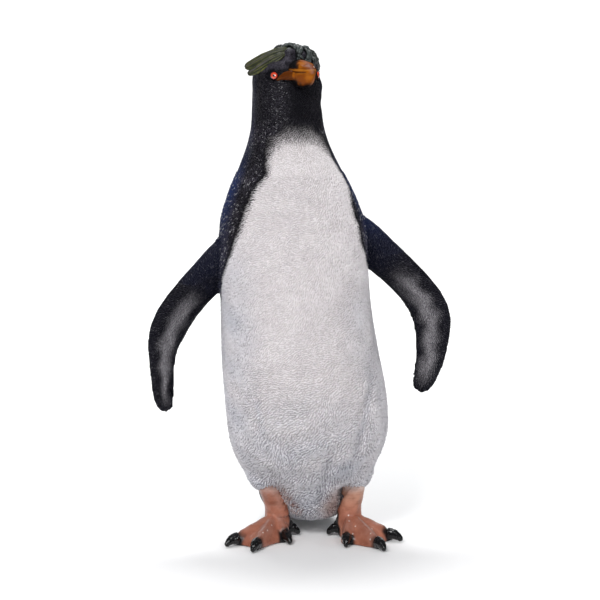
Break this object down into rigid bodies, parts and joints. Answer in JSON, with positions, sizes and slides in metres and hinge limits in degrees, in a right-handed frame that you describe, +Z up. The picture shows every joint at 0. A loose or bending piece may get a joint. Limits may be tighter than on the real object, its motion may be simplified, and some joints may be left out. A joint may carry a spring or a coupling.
{
  "type": "painted cast-resin statue of a rockhopper penguin",
  "caption": "Life-size standing penguin statue: moulded feathering, olive brow crests, stout bill, flippers held out, webbed feet and a short tail that rests on the floor.",
  "frame": {"origin": "middle of the bounding box, on the floor", "axes": "+Z up, the bill and chest towards -Y, the statue's right side at -X"},
  "size_m": [0.3362, 0.2342, 0.5491],
  "materials": {
    "dark_paint": "satin navy-charcoal paint over moulded feathering",
    "white_paint": "matt warm white paint over moulded feathering, shaded bluish grey in the hollows",
    "terracotta_paint": "glossy terracotta paint",
    "claw_paint": "glossy black paint",
    "orange_paint": "glossy orange-brown paint, sprayed black at the bill's root",
    "iris_paint": "glossy orange-red iris with a black pupil",
    "olive_paint": "satin olive paint, dry-brushed lilac grey on the ribs"
  },
  "bodies": {
    "root": {"head": "dark_paint", "neck": "dark_paint", "trunk": "white_paint", "tail": "dark_paint", "flipper_right": "dark_paint", "flipper_left": "dark_paint", "thigh_right": "white_paint", "thigh_left": "white_paint", "leg_right": "terracotta_paint", "leg_left": "terracotta_paint", "foot_right": "terracotta_paint", "foot_left": "terracotta_paint", "bill_upper": "orange_paint", "bill_lower": "orange_paint", "eye_right": "iris_paint", "eye_left": "iris_paint", "crest_right": "olive_paint", "crest_left": "olive_paint", "claw_right_inner": "claw_paint", "claw_right_middle": "claw_paint", "claw_right_outer": "claw_paint", "claw_right_hind": "claw_paint", "claw_left_inner": "claw_paint", "claw_left_middle": "claw_paint", "claw_left_outer": "claw_paint", "claw_left_hind": "claw_paint"}
  },
  "joints": []
}
